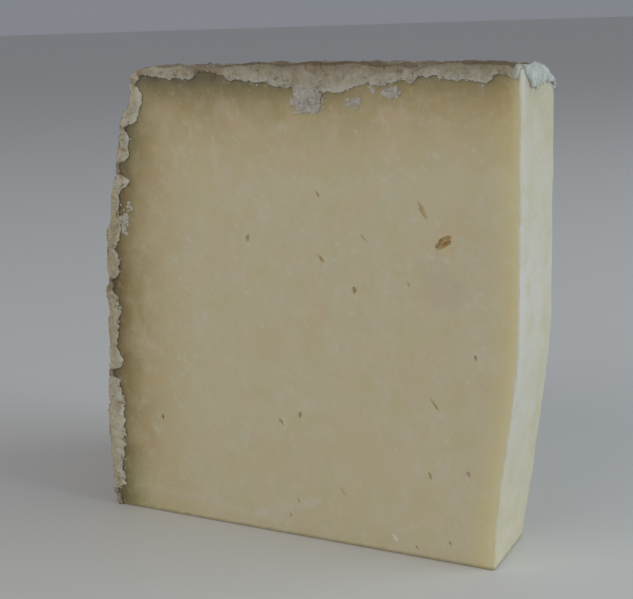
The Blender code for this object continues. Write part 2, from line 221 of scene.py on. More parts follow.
def addAttributes(thing, shape, **values):  # one number a vertex for each name that a material reads
    for name, value in values.items():
        layer = thing.data.attributes.new(name, "FLOAT", "POINT")
        layer.data.foreach_set("value", np.broadcast_to(value, shape).astype(np.float32).ravel())


# materials

def wireMaths(operation, swap=False):  # a method that adds that Math node
    return lambda wire, other: wire.step(operation, other, swap=swap)


class Wire:  # a socket that takes part in ordinary maths, each step adding its Math node
    def __init__(self, paint, socket):
        self.paint, self.socket = paint, socket

    def step(self, operation, *others, swap=False):
        values = (*others, self) if swap else (self, *others)
        return self.paint.node("ShaderNodeMath", {"operation": operation}, dict(enumerate(values)))

    __add__ = __radd__ = wireMaths("ADD")
    __mul__ = __rmul__ = wireMaths("MULTIPLY")
    __sub__, __rsub__ = wireMaths("SUBTRACT"), wireMaths("SUBTRACT", swap=True)
    __truediv__, __pow__ = wireMaths("DIVIDE"), wireMaths("POWER")
    lowest, highest = wireMaths("MINIMUM"), wireMaths("MAXIMUM")

    def between(self, low, high):  # 0 at low, 1 at high, smooth in between; low may be the larger
        inputs = {"Value": self, "From Min": low, "From Max": high}
        return self.paint.node("ShaderNodeMapRange", {"interpolation_type": "SMOOTHSTEP"}, inputs)


def distance(across, up):  # root of the sum of the squares, of two wires
    return (across * across + up * up) ** 0.5


class Paint:  # one material: its nodes come from one method
    def __init__(self, name):
        self.material = bpy.data.materials.new(name)
        self.material.use_nodes = True
        self.tree = self.material.node_tree
        self.shader = self.tree.nodes["Principled BSDF"]
        self.place = self.node("ShaderNodeTexCoord", {}, {}, "Object")

    def node(self, kind, settings, inputs, output=0):
        made = self.tree.nodes.new(kind)
        for name, value in settings.items():
            if name == "stops":
                ramp = made.color_ramp
                while len(ramp.elements) < len(value):
                    ramp.elements.new(1.0)
                for element, (position, colour) in zip(ramp.elements, value):
                    element.position = position
                    element.color = (*colour, 1)
            else:
                setattr(made, name, value)
        self.plug(made, inputs)
        return Wire(self, made.outputs[output])

    def plug(self, made, inputs):  # wires are linked, and other values set
        for name, value in inputs.items():
            if isinstance(value, Wire):
                self.tree.links.new(value.socket, made.inputs[name])
            else:
                made.inputs[name].default_value = value

    def feed(self, inputs):  # finishes the material
        self.plug(self.shader, inputs)
        return self.material

    def mix(self, amount, first, second, blend="MIX"):  # from the first colour to the second
        colours = {key: (*value, 1) if isinstance(value, tuple) else value for key, value in ((6, first), (7, second))}
        settings = {"data_type": "RGBA", "blend_type": blend}
        return self.node("ShaderNodeMix", settings, {0: amount, **colours}, 2)

    def tinted(self, amount, colour, tint):  # the colour times the tint, as far as the amount goes
        return self.mix(amount, colour, self.mix(1.0, colour, tint, "MULTIPLY"))

    def ramp(self, stops, value):  # colours between the stops
        return self.node("ShaderNodeValToRGB", {"stops": stops}, {0: value})

    def noise(self, size, detail=2, rough=0.5, place=None, warp=0.0):  # size in mm
        inputs = {"Vector": place or self.place, "Scale": 1 / (size * mm), "Detail": detail, "Roughness": rough,
                  "Distortion": warp}
        return self.node("ShaderNodeTexNoise", {}, inputs, "Fac")

    def turned(self, angles, stretch):  # object place turned by degrees about x, y, z, then stretched
        turn = tuple(math.radians(angle) for angle in angles)
        spun = self.node("ShaderNodeMapping", {"vector_type": "TEXTURE"}, {"Vector": self.place, "Rotation": turn})
        return self.node("ShaderNodeMapping", {"vector_type": "POINT"}, {"Vector": spun, "Scale": stretch})

    def attribute(self, name):  # the mesh's own number of that name
        return self.node("ShaderNodeAttribute", {"attribute_name": name}, {}, "Fac")

    def bump(self, height, distance, below=None):  # distance in mm, over the relief below
        inputs = {"Height": height, "Distance": distance * mm, "Strength": 1.0}
        if below is not None:
            inputs["Normal"] = below
        return self.node("ShaderNodeBump", {}, inputs, "Normal")


pasteLook = {  # colours are scene linear; the zones go by depth under the rind, in mm; the darkest ones next to the rind are the paste's own darker rim and also painted shade under the rind's lip
    "pale": (0.87, 0.83, 0.68), "yellow": (0.79, 0.67, 0.36), "pink": (0.84, 0.68, 0.47), "green": (0.74, 0.7, 0.42),
    "opening": (0.72, 0.55, 0.28), "bloom": (0.87, 0.84, 0.73), "openingDeep": (0.58, 0.37, 0.11),
    "zones": ((2.5, (0.18, 0.14, 0.066)), (4.3, (0.262, 0.203, 0.094)), (5.6, (0.345, 0.268, 0.126)),
              (7.0, (0.435, 0.342, 0.17)), (9.0, (0.55, 0.438, 0.226)), (13.0, (0.675, 0.542, 0.302)),
              (20.0, (0.765, 0.65, 0.392)), (29.0, (0.805, 0.73, 0.497))),
    "zoneReach": 30.0, "topPaintedLight": (-45.0, -24.0, -0.7, 1.9), "edgeGlowTint": (1.1, 1.08, 0.93), "edgeGlowReach": 9.0,
    "roughness": 0.5, "refraction": 1.45, "scatter": 0.35, "scatterRadius": (1.0, 0.62, 0.28), "scatterScale": 2.0,
    # near the rind: under the top, beside the side, and low down
    "upperTint": (1.09, 1.2, 1.34), "umberTint": (1.1, 1.03, 0.98), "lowerTint": (0.93, 0.93, 0.88),
    "footTint": (1.1, 1.27, 1.36),
    "noseTints": ((0.0, (1.06, 1.01, 0.92)), (0.35, (1.01, 1.01, 0.99)), (0.6, (1.03, 1.03, 1.05)),
                  (0.88, (0.98, 0.96, 0.91))),  # by share of the height
    # the foot colour is painted contact shadow along the bottom
    # the glow colour is painted light shining through the paste near the nose's edge
    "noseBloom": (0.9, 0.865, 0.75), "glow": (0.96, 0.88, 0.58), "foot": (0.42, 0.33, 0.19),
    "smears": ((-100.0, 7.0, -58.0, 3.5), (-66.0, 5.5, -50.0, 10.5)),  # x, z of both ends on the front face
    "smearWidth": 1.2,
    # faint spots on the front face: x, z, reach, colour, amount
    "spots": (
        (-14.0, 72.5, 8.0, "grey", 0.26), (-16.5, 78.8, 1.6, "bloom", 0.5), (-12.5, 78.2, 1.3, "bloom", 0.4),
        (-20.5, 87.6, 1.2, "bloom", 0.4), (-66.5, 78.9, 1.0, "bloom", 0.4), (-44.6, 74.6, 1.0, "bloom", 0.4),
        (-36.2, 67.3, 0.9, "bloom", 0.35), (-14.2, 38.8, 1.2, "bloom", 0.35), (-52.6, 32.8, 0.9, "bloom", 0.35),
        (-58.2, 30.2, 0.9, "bloom", 0.35), (-27.4, 4.9, 0.6, "flake", 1.0), (-26.9, 4.4, 0.75, "flake", 1.0),
        (-26.4, 3.8, 0.65, "flake", 1.0)),
    "grey": (0.66, 0.58, 0.44), "flake": (0.95, 0.94, 0.84),
    # cloudy patches: size in mm, detail, colour, where the cloud starts and is full, amount
    "patches": ((4, 4, "pale", 0.5, 0.7, 0.3), (8, 4, "yellow", 0.48, 0.64, 0.3),
                (12, 4, "pink", 0.47, 0.62, 0.36), (5, 4, "green", 0.5, 0.66, 0.32)),
    "flakeTurn": -32, "flakeSize": 1.3, "fineSize": 0.5, "flakeBump": 0.12, "fineBump": 0.08,
    "smearAmount": 0.28, "glowAmount": 0.5, "footShadeAmount": 0.6,
}


def pasteMaterial():  # colour by depth under the rind, then tints, patches, marks and openings over it
    paint = Paint("cheesePaste")
    look = pasteLook
    x, y, z = (paint.node("ShaderNodeSeparateXYZ", {}, {0: paint.place}, axis) for axis in range(3))
    x = x * 1000 - cornerX
    y = y * 1000 - frontY
    z = z * 1000 / (1 - y * (wheel["backFall"] / wheelTop))

    # how deep under the rind: the lesser of the way to the top and to the leaning side
    fromAxis = wheel["axisToCorner"] - x
    rise = ((z - wheel["leanStart"]) / (wheelTop - wheel["leanStart"])).highest(0.0).lowest(1.0)
    upper = z.between(56.0, 80.0)
    sideDepth = wheel["radius"] - rise ** wheel["leanPower"] * wheel["leanIn"] - distance(fromAxis, y) + upper * 0.7
    # the top's depth is shifted along x, so the top is lighter to the right: painted light that offsets the lip's
    # shadow there
    left, right, least, most = look["topPaintedLight"]
    topDepth = wheelTop - z + x.between(left, right) * (most - least) + least
    depth = sideDepth.step("SMOOTH_MIN", topDepth, 5.0)
    depth = depth + (paint.noise(8, 3) - 0.5) * 3.0
    stops = [(place / look["zoneReach"], colour) for place, colour in look["zones"]]
    colour = paint.ramp(stops, depth / look["zoneReach"])
    deep = depth.between(4.0, 16.0)
    olive = topDepth.between(36.0, 18.0)
    colour = paint.tinted(olive * depth.between(9.0, 3.5), colour, look["upperTint"])
    colour = paint.tinted((1 - olive) * depth.between(7.5, 4.0), colour, look["umberTint"])
    colour = paint.tinted((1 - upper) * depth.between(17.0, 9.0), colour, look["lowerTint"])
    colour = paint.tinted(z.between(18.0, 9.0) * depth.between(24.0, 6.0), colour, look["footTint"])

    # cloudy patches of four tints, fainter near the rind
    for order, (size, detail, name, low, high, most) in enumerate(look["patches"]):
        spot = paint.turned((20 * order, 30 * order + 10, 0), (1.0, 1.0, 0.8))
        cloud = paint.noise(size, detail, 0.55, spot, 0.4)
        colour = paint.mix(cloud.between(low, high) * (deep * 0.8 + 0.2) * most, colour, look[name])

    # soft flakes that slant down to the right
    slanted = paint.turned((0, look["flakeTurn"], 0), (1.0, 1.0, 0.6))
    flake = paint.noise(look["flakeSize"], 2, 0.5, slanted, 0.4)
    sparse = paint.noise(6, 2).between(0.42, 0.62)
    shown = flake.between(0.6, 0.72) * (sparse * 0.42 + 0.12) * (deep * 0.65 + 0.35)
    colour = paint.mix(shown, colour, paint.mix(deep * 0.6 + 0.25, colour, look["bloom"]))
    colour = paint.mix(flake.between(0.4, 0.28) * 0.25, colour, look["yellow"])

    # pale smears low on the front, as distances to short straight strokes
    onFront = y.between(1.2, 0.6)
    smear = 0.0
    for x0, z0, x1, z1 in look["smears"]:
        length = math.hypot(x1 - x0, z1 - z0)
        alongX, alongZ = (x1 - x0) / length, (z1 - z0) / length
        along = (x - x0) * alongX + (z - z0) * alongZ
        offX = x - x0 - along.highest(0.0).lowest(length) * alongX
        offZ = z - z0 - along.highest(0.0).lowest(length) * alongZ
        smear = distance(offX, offZ).between(look["smearWidth"] * 1.8, 0.2) + smear
    smear = smear * onFront * paint.noise(3, 3).between(0.3, 0.6)
    colour = paint.mix(smear * look["smearAmount"], colour, look["bloom"])
    for spotX, spotZ, reach, name, most in look["spots"]:
        away = distance(x - spotX, z - spotZ) + (paint.noise(reach * 0.9, 3, 0.6) - 0.5) * reach * 1.6
        colour = paint.mix(away.between(reach, reach * 0.3) * onFront * most, colour, look[name])

    # the nose: paler and cloudy; on the front just before its edge, a painted warm glow that stands in for light
    # shining through the paste from the lit nose
    noseX = (z / wheel["noseKink"]).highest(0.0).lowest(1.0)
    noseX = noseX * noseX * (3 - noseX * 2) * wheel["noseLean"]
    toNose = noseX - x
    onNose = toNose.between(0.9, 0.25)
    clouds = paint.noise(9.0, 4, 0.6).between(0.34, 0.66) * 0.26 + paint.noise(1.6, 3, 0.6).between(0.5, 0.66) * 0.2
    # paler along the nose's front edge: whitish bloom, and a painted highlight where the rounded edge catches the
    # light
    noisyShare = (y + (paint.noise(5.0, 4, 0.65) - 0.5) * 12.0).between(6.0, 1.5) * z.between(30.0, 50.0) * 0.3
    colour = paint.mix(onNose * (clouds + noisyShare + 0.46), colour, look["noseBloom"])
    greenish = paint.noise(7.0, 3, 0.55).between(0.48, 0.64) * 0.35 + y.between(15.0, 24.0) * 0.2
    colour = paint.mix(onNose * greenish, colour, look["green"])
    colour = paint.tinted(onNose, colour, paint.ramp(look["noseTints"], z / wheelTop))
    # painted glow on the front by the nose's edge, standing in for light that shines through the paste from the lit
    # nose
    edgeGlow = toNose.between(look["edgeGlowReach"], 0.8) * (1 - onNose) * onFront
    colour = paint.tinted(edgeGlow, colour, look["edgeGlowTint"])
    glow = toNose.between(3.4, 0.7) * (1 - onNose) * onFront
    colour = paint.mix(glow * look["glowAmount"], colour, look["glow"])
    # the lowest mm darker brown on every face: painted contact shadow along the foot
    foot = (z + (paint.noise(2.0, 3) - 0.5) * 1.2).between(1.3, 0.2)
    colour = paint.mix(foot * look["footShadeAmount"], colour, look["foot"])

    # inside an opening: deeper than the cut faces by more than their relief; browner and darker the deeper it goes,
    # the paste's deeper colour there and painted shade in the recess
    back = fromAxis * math.sin(wedgeAngle) - y * math.cos(wedgeAngle)
    inside = y.lowest(toNose).lowest(back).lowest(z)
    chipped = z.between(wheel["chipHeight"] + 1.5, wheel["chipHeight"] + 0.5) * y.between(12.0, 14.0)
    chipped = chipped * toNose.between(wheel["chipWidth"] + 3, wheel["chipWidth"] + 2)
    colour = paint.mix(inside.between(0.15, 0.5) * (1 - chipped) * 0.8, colour, look["opening"])
    colour = paint.mix(inside.between(0.5, 1.4) * (1 - chipped) * 0.85, colour, look["openingDeep"])

    roughness = (paint.noise(3, 3) - 0.5) * 0.25 + look["roughness"]
    fine = paint.noise(look["fineSize"], 3, 0.6, slanted)
    relief = paint.bump(fine, look["fineBump"], paint.bump(flake, look["flakeBump"]))
    return paint.feed({"Base Color": colour, "Roughness": roughness, "Normal": relief, "IOR": look["refraction"],
                       "Subsurface Weight": look["scatter"], "Subsurface Radius": look["scatterRadius"],
                       "Subsurface Scale": look["scatterScale"] * mm})


rindLook = {  # scene linear colours
    "lip": (0.63, 0.58, 0.45), "lipPale": (0.82, 0.8, 0.72), "lipWarm": (0.5, 0.37, 0.23),
    "lipOlive": (0.53, 0.49, 0.36), "lipTop": (0.26, 0.2, 0.12), "hanging": (0.62, 0.62, 0.56),
    "thin": (0.37, 0.275, 0.17), "thinUnder": (0.4, 0.295, 0.18),
    "sideLift": (1.18, 1.18, 1.17), "sideMidway": (1.03, 0.99, 0.88),  # tints of the lip up the side
    "hangPlace": -48.0, "hangHeight": 115.0, "hangReach": (4.8, 3.2), "midway": (42.0, 52.0, 98.0, 86.0),
    "lipTopAmount": 0.55, "creaseShadeAmount": 0.55, "grain": 0.7, "grainBump": 0.16, "fineSize": 0.35, "fineBump": 0.08,
    "outer": (0.25, 0.185, 0.11), "outerGrey": (0.38, 0.33, 0.24), "mould": (0.64, 0.63, 0.56),
    "nose": (0.79, 0.82, 0.75), "noseDull": (0.63, 0.65, 0.55), "crumb": (0.76, 0.72, 0.64),
    # the two darkest browns are painted shade: in the creases between lumps, and under the lip
    "creviceShade": (0.17, 0.115, 0.065), "underShade": (0.13, 0.085, 0.045), "brow": (0.19, 0.135, 0.08), "roughness": 0.9,
}


def rindMaterial():  # lip and outer skin by their attributes, then the pale nose, and painted shade in the creases and under the lip over them
    paint = Paint("cheeseRind")
    look = rindLook
    lift = paint.attribute("lift")  # 0 in the creases, 1 on the lumps
    edge = paint.attribute("edge")  # 1 at the lip's inner edge, falling to 0 at the wheel's own surface
    outer = paint.attribute("outer")  # 1 on the wheel's own surface, 0 on the lip over the cuts
    bloom = paint.attribute("bloom")  # 1 at the nose, whose rind is pale
    grain = paint.noise(look["grain"], 4, 0.7)
    fine = grain - 0.5
    lip = paint.mix(paint.noise(4, 4, 0.65, warp=0.5).between(0.44, 0.58), look["lip"], look["lipOlive"])
    lip = paint.mix(paint.noise(2.6, 4, 0.65, warp=0.4).between(0.5, 0.64) * 0.75, lip, look["lipWarm"])
    paler = edge.between(0.3, 0.85) * 0.62 + lift * 0.38 + fine * 0.6
    lip = paint.mix(paler.between(0.3, 0.95) * 0.85, lip, look["lipPale"])
    side = paint.attribute("side")
    x, z = (paint.node("ShaderNodeSeparateXYZ", {}, {0: paint.place}, axis) * 1000 for axis in (0, 2))
    midway = z.between(*look["midway"][:2]) * z.between(*look["midway"][2:])
    lip = paint.tinted(side * (1 - midway), lip, look["sideLift"])
    lip = paint.tinted(side * midway, lip, look["sideMidway"])
    toHanging = distance(x - (cornerX + look["hangPlace"]), z - look["hangHeight"])
    hanging = (toHanging + fine * 3.0).between(*look["hangReach"])
    lip = paint.mix(hanging * 0.7, lip, look["hanging"])
    upperEdge = (edge + fine * 0.25 + (paint.noise(5, 3, 0.6) - 0.5) * 0.5).between(0.46, 0.06) * (1 - side * 0.6)
    lip = paint.mix(upperEdge * x.between(-33.0, -25.0) * look["lipTopAmount"], lip, look["lipTop"])
    thin = paint.attribute("thin")
    noisyShare = thin + (paint.noise(1.8, 3, 0.6) - 0.5) * 1.2
    lip = paint.mix(noisyShare.between(0.3, 1.0) * 0.7, lip, look["thin"])
    skin = paint.mix(paint.noise(12, 4, 0.65, warp=0.4).between(0.42, 0.6), look["outer"], look["outerGrey"])
    mouldy = (lift * 0.5 + paint.noise(5, 4, 0.65) + fine * 0.9).between(0.84, 1.12)
    skin = paint.mix(mouldy * 0.7, skin, look["mould"])
    colour = paint.mix(outer, lip, skin)
    colour = paint.mix((paint.attribute("brow") + fine * 0.7).between(0.15, 0.8) * 0.8, colour, look["brow"])
    pale = paint.mix(paint.noise(2.4, 4, 0.65, warp=0.4).between(0.46, 0.62), look["nose"], look["noseDull"])
    colour = paint.mix((bloom * 0.9 + fine * 0.6 + lift * 0.2).between(0.35, 0.85), colour, pale)
    colour = paint.mix(paint.attribute("crumb"), colour, look["crumb"])
    # darker brown in the creases between the lumps: painted shade
    creaseShade = (lift + fine * 0.7).between(0.34, 0.02) * (1 - bloom * 0.55) * (1 - thin * 0.6)
    colour = paint.mix(creaseShade * look["creaseShadeAmount"], colour, look["creviceShade"])
    # dark brown at the lip's underside by its root: painted shade under the lip, and where the lip is thin the thin
    # rind's own brown
    under = (edge + fine * 0.06).between(0.94, 1.0) * (1 - bloom * 0.4)
    colour = paint.mix(under * 0.8, colour, paint.mix(thin, look["underShade"], look["thinUnder"]))
    finest = paint.bump(paint.noise(look["fineSize"], 3, 0.6), look["fineBump"])
    relief = paint.bump(grain, look["grainBump"], finest)
    return paint.feed({"Base Color": colour, "Roughness": look["roughness"], "Normal": relief})


# rind

rind = {  # in mm
    "rolling": (0.18, 11, 10, 30), "nodules": (0.28, 12, 5.5, 9), "waveCount": 12,
    "dentBack": 30,  # dents of the outline near the front face: place or height, reach, change
    "topDents": ((-75, 2.2, -0.6), (-63, 6, 0.5), (-48, 4, 0.4), (-35, 4.5, 0.4), (-26, 3, -0.3),
                 (-19.5, 5.5, -0.4), (-16.4, 1.5, -0.4), (-10.5, 2, 0.3), (3.5, 5, -0.9)),
    "sideDents": ((41, 9, -1.1), (54, 6, -0.8), (67, 2.5, -1.0), (79, 8, 0.9), (93, 5, 0.5),
                  (110, 3, 0.4), (117.5, 4.5, -1.2), (122.4, 1.7, -0.7)),
    "lipProud": 0.85, "ragged": 0.2, "leastLip": 0.8, "lipRoot": 2.0, "leastRoot": 2.7, "rootBack": 0.8,
    "rootLift": 1.8, "rootThin": 3.2, "rootFade": 1.4,  # a thin lip ends in a shallow groove
    "shell": 4.4, "lipBelow": 0.15, "noseLipStart": 2.3, "noseStations": 110, "noseCrumble": 0.75,
    # how deep the lip hangs: place along the top, up the side or across the nose, and the depth there
    "topEdge": (
        (-96, 2.3), (-92, 2.8), (-89, 3.2), (-84, 3.5), (-81.5, 3.2), (-79, 1.7), (-74, 1.8), (-72, 2.6), (-70, 3.5),
        (-64, 3.9), (-60, 4.0), (-56.5, 5.3), (-52, 5.7), (-51, 8.6), (-49, 9.6), (-45.2, 9.3), (-44.2, 6.9),
        (-41, 6.8), (-38.5, 6.1), (-34.8, 5.7), (-31.5, 4.7), (-28.5, 5.3), (-24.4, 4.6), (-20.6, 4.5), (-18.2, 3.1),
        (-14.2, 2.8), (-12.6, 4.0), (-9, 4.4), (-5.8, 4.1), (-3.4, 4.9), (-1.4, 4.6), (0.5, 2.8), (2.1, 2.9),
        (3.9, 3.6), (5.2, 4.0), (5.7, 1.0), (7, 1.0)),
    "sideEdge": (
        (0, 2.1), (3, 2.0), (4.8, 1.5), (6.5, 4.1), (9, 4.6), (11.2, 3.3), (14, 4.9), (20, 5.7), (30, 5.8),
        (34, 5.5), (36.5, 4.6), (38.5, 4.5), (39.5, 2.6), (41, 2.4), (42.3, 4.9), (43.9, 6.0), (45.4, 5.4),
        (48, 4.0), (51, 4.7), (53, 3.6), (55.7, 4.4), (61.5, 4.5), (64, 1.8), (67, 1.9), (69.6, 4.2), (73, 4.3),
        (75.6, 2.6), (78, 3.4), (81, 4.0), (84, 3.6), (87, 2.5), (92.8, 2.5), (94.3, 4.5), (95.9, 5.0), (96.9, 1.5),
        (98.2, 0.9), (99.6, 1.0), (100.7, 3.0), (102.5, 4.2), (103.7, 3.9), (105, 3.0), (107.4, 3.5), (109, 2.1),
        (110.6, 2.8), (112, 4.8), (115, 5.5), (117, 5.8), (118.4, 5.2), (120, 4.0), (121.6, 3.3), (125, 2.4)),
    "noseEdge": ((2.3, 3.0), (3.2, 3.9), (6.9, 4.7), (11.7, 5.5), (15.6, 4.6), (18.8, 3.6), (23.8, 2.6), (27, 2.4)),
    "section": ((0.93, -0.3), (1.0, 0.45), (0.86, 0.9), (0.55, 1.0), (0.22, 0.8), (0.05, 0.3)),
    "frontLip": 24, "backLip": 14, "acrossStations": 80,
    "topStations": 350, "shoulderStations": 34, "sideStations": 396, "crowding": 0.7,
    "crumbSizes": ((3.4, 0.34, 0.5), (1.7, 0.26, 0.42), (0.9, 0.13, 0.25)),  # size, rise and share of the shade
    "creaseWidth": 0.28, "grainSize": 0.8, "grainRise": 0.12, "warp": 0.9, "deepest": 0.6,
    "calm": (3.0, 4.0, 0.6),  # the top is calmer this far behind the front, over this reach, by this share
    "browReach": 9.0, "browStart": (-82, 14), "browGap": (-20, 7, 0.8),  # the dark brow along the top's front edge
    "bloomReach": 2.5, "bloom": 0.8,
    "teeth": ((2.6, 0.35), (1.1, 0.3), (0.55, 0.16)),  # fine raggedness of the lip's inner edge: size and depth
    "lipShare": 0.8, "thin": 3.0,  # crumbliness of the lip; the lip is browner where it hangs less than this
}
topRim = wheel["axisToCorner"] - arcRadius


def reliefAt(points):  # the solid's own two sets of waves, and its dents as humps and hollows
    lift = sum(rise * waves(points, seed, shortest, longest, rind["waveCount"])
               for rise, seed, shortest, longest in (rind["rolling"], rind["nodules"]))
    place = points[..., 0] - cornerX
    nearFront = hump(points[..., 1], frontY, rind["dentBack"])
    for name, along, here in (("topDents", place, place > topRim), ("sideDents", points[..., 2], place <= topRim)):
        for middle, reach, change in rind[name]:
            lift = lift + change * hump(along, middle, reach) * nearFront * here
    return lift


def edgeDepth(place, name, seed, flipped=False):  # straight between an edge's points, a ragged wave and fine teeth
    spots, depths = np.array(rind[name]).T
    if flipped:
        place = spots[0] + spots[-1] - place
    along = joined(place, 0, 0)
    depth = np.interp(place, spots, depths) + rind["ragged"] * waves(along, seed, 4, 9, 8)
    for size, deep in rind["teeth"]:
        depth += deep * fractal(along + seed, size, 2, seed)
    return depth


def crumbly(points):  # lumps of three sizes, domed and parted by creases, plus grain; rise in mm and a 0 to 1 height
    warped = points + rind["warp"] * np.stack([fractal(points, 2.6, 3, seed) for seed in (61, 71, 81)], axis=-1)
    rise, lift = 0, 0.35
    for order, (size, high, share) in enumerate(rind["crumbSizes"]):
        near, second = lumps(warped, size, 41 + order)
        crease = smooth((second - near) / rind["creaseWidth"])
        uneven = 0.55 + 0.45 * valueNoise(points / 5.0 + order * 7, 44)
        lump = (crease - 0.75) * 0.7 + (0.5 - near) * 0.9
        rise = rise + high * lump * 1.7 * uneven
        lift = lift + (crease - 0.55) * share * uneven
    grain = fractal(points, rind["grainSize"], 3, 51)
    rise = np.maximum(rise + rind["grainRise"] * grain, -rind["deepest"])
    return rise, np.clip(lift + 0.15 + grain * 0.22, 0, 1)


def lipSection(depth, proud, stations):  # the section's corner points joined by a smooth run of stations
    share, rise = np.array(rind["section"]).T
    knots = np.linspace(0, 1, len(share))
    run = np.linspace(0, 1, stations)
    deep = np.interp(run, knots, share)
    high = np.interp(run, knots, rise)
    root = np.maximum(depth - rind["rootBack"], rind["leastRoot"])
    sunk = rind["lipRoot"] - rind["rootLift"] * smooth((rind["rootThin"] - depth) / rind["rootFade"])
    return [(root, -sunk)] + [(depth * d, proud * h) for d, h in zip(deep, high)]


def makeRind():  # rings across the wheel, front lip to back lip, carried from nose to foot and closed under
    nose = wheel["axisToCorner"] - wheel["noseLean"] + wheel["noseGap"]
    top = np.linspace(nose, arcRadius, rind["topStations"], endpoint=False)
    turn = np.linspace(math.pi / 2, arcTilt, rind["shoulderStations"], endpoint=False)
    side = np.linspace(arcStart, 0, rind["sideStations"])
    radius = np.concatenate([top, arcRadius + wheel["shoulder"] * np.cos(turn), sideRadius(side)])
    height = np.concatenate([np.full(len(top), wheelTop), arcHeight + wheel["shoulder"] * np.sin(turn), side])
    tilt = np.concatenate([np.full(len(top), math.pi / 2), turn, sideTilt(side)])
    out, up = np.cos(tilt), np.sin(tilt)
    onTop = np.arange(len(radius)) < len(top)
    rim = radius[len(top)]

    def radiusAt(angle):  # top stations start in the nose's plane
        end = nose / math.cos(angle)
        return np.where(onTop, end + (radius - nose) * (rim - end) / (rim - nose), radius)

    def surfaceAt(angle):
        r = radiusAt(angle)
        lift = reliefAt(wheelPoint(r, angle, height))
        return r + out * lift, height + up * lift, lift

    xPlace = wheel["axisToCorner"] - radius
    front = np.where(onTop, edgeDepth(xPlace, "topEdge", 31), edgeDepth(height, "sideEdge", 32))
    back = np.where(onTop, edgeDepth(xPlace, "topEdge", 33, True), edgeDepth(height, "sideEdge", 34, True))
    proud = rind["lipProud"] * np.clip(1 + 0.35 * waves(joined(xPlace, 0, height), 35, 5, 14, 8), 0.35, 1.6)
    facingBack = (math.sin(wedgeAngle), math.cos(wedgeAngle), 0)
    rows = []  # each one's points, crumbliness, nearness to the lip's edge, share of outer skin, and thinness

    def addLip(angle, depth, facing, stations, reverse):
        r, z, lift = surfaceAt(angle)
        depth = np.maximum(depth + lift, rind["leastLip"])
        thin = smooth((rind["thin"] - depth) / 1.2)
        run = np.concatenate([[0], np.linspace(0, 1, stations)])
        section = list(zip(lipSection(depth, proud, stations), run, [0.0] + [rind["lipShare"]] * stations))
        for (deep, rise), at, crumble in section[::-1] if reverse else section:
            points = wheelPoint(r - out * deep, angle, z - up * deep) + np.multiply.outer(rise, facing)
            rows.append((points, crumble, 1 - at, smooth((at - 0.9) / 0.1) * 0.6, thin))

    addLip(0.0, front, (0, -1, 0), rind["frontLip"], False)
    spread = np.linspace(0, 1, rind["acrossStations"])
    spread = spread - rind["crowding"] * np.sin(2 * math.pi * spread) / (2 * math.pi)  # closer near both cuts
    for angle in spread * wedgeAngle:
        r, z, _ = surfaceAt(angle)
        rows.append((wheelPoint(r, angle, z), 1.0, 0.0, 1.0, 0 * r))
    addLip(wedgeAngle, back, facingBack, rind["backLip"], True)
    for share in (0.8, 0.5, 0.2):
        angle = wedgeAngle * share
        inner = wheelPoint(radiusAt(angle) - out * rind["shell"], angle, height - up * rind["shell"])
        rows.append((inner, 0.0, 0.0, 0.0, 0 * out))

    grid, rough, edges, outers, thins = (np.stack(column) for column in zip(*rows))
    rise, shade = crumbly(grid)
    weight = rough[:, None] * smooth(np.minimum(np.arange(grid.shape[1]), 3) / 3)
    outer = outers[:, None]
    calmBack, calmReach, calmShare = rind["calm"]
    calm = hump(grid[..., 1] - frontY, calmBack, calmReach) * onTop * outer
    weight = weight * (1 - calmShare * calm)
    grid = grid + gridNormals(grid) * (rise * weight)[..., None]
    grid[..., 2] = np.maximum(grid[..., 2], 0)
    thing = closedTube("rindShell", grid)
    place = grid[..., 0] - cornerX
    browStart, browFade = rind["browStart"]
    gap, gapReach, gapShare = rind["browGap"]
    brow = hump(grid[..., 1], frontY, rind["browReach"]) * onTop * outer
    brow = brow * smooth((place - browStart) / browFade) * (1 - gapShare * hump(place, gap, gapReach))
    bloomed = hump(place, wheel["noseLean"], rind["bloomReach"]) * rind["bloom"]
    addAttributes(thing, shade.shape, lift=shade, edge=edges[:, None], outer=outer, brow=brow, bloom=bloomed,
                  thin=thins * (1 - outer), side=1.0 - onTop)
    return thing


def makeNoseLip():  # the lip's section carried along the nose's top edge, thinning out at both ends
    noseX = cornerX + wheel["noseLean"]
    thick = (wheel["axisToCorner"] - wheel["noseLean"]) * math.tan(wedgeAngle)
    across = np.linspace(rind["noseLipStart"], thick - 0.3, rind["noseStations"])
    ends = np.sin(np.linspace(0.12, math.pi - 0.12, len(across))) ** 0.35
    depth = np.maximum(edgeDepth(across, "noseEdge", 36), rind["leastLip"]) * ends
    proud = rind["lipProud"] * ends
    edge = joined(noseX, frontY + across, wheelTop)
    surface = wheelTop + reliefAt(edge) - rind["lipBelow"]
    steps = lipSection(depth, proud, rind["frontLip"]) + [(0.4 + 0 * depth, -rind["lipRoot"] + 0 * depth)]
    grid = np.stack([joined(noseX + rise, edge[:, 1], surface - deep) for deep, rise in steps])
    rise, shade = crumbly(grid)
    weight = np.full((len(grid), 1), rind["noseCrumble"])
    weight[[0, -1]] = 0
    grid = grid + gridNormals(grid) * (rise * weight)[..., None]
    thing = closedTube("noseRindLip", grid)
    edges = np.concatenate([[1], np.linspace(1, 0, rind["frontLip"]), [0]])[:, None]
    addAttributes(thing, shade.shape, lift=shade, edge=edges, bloom=0.95)
    return thing


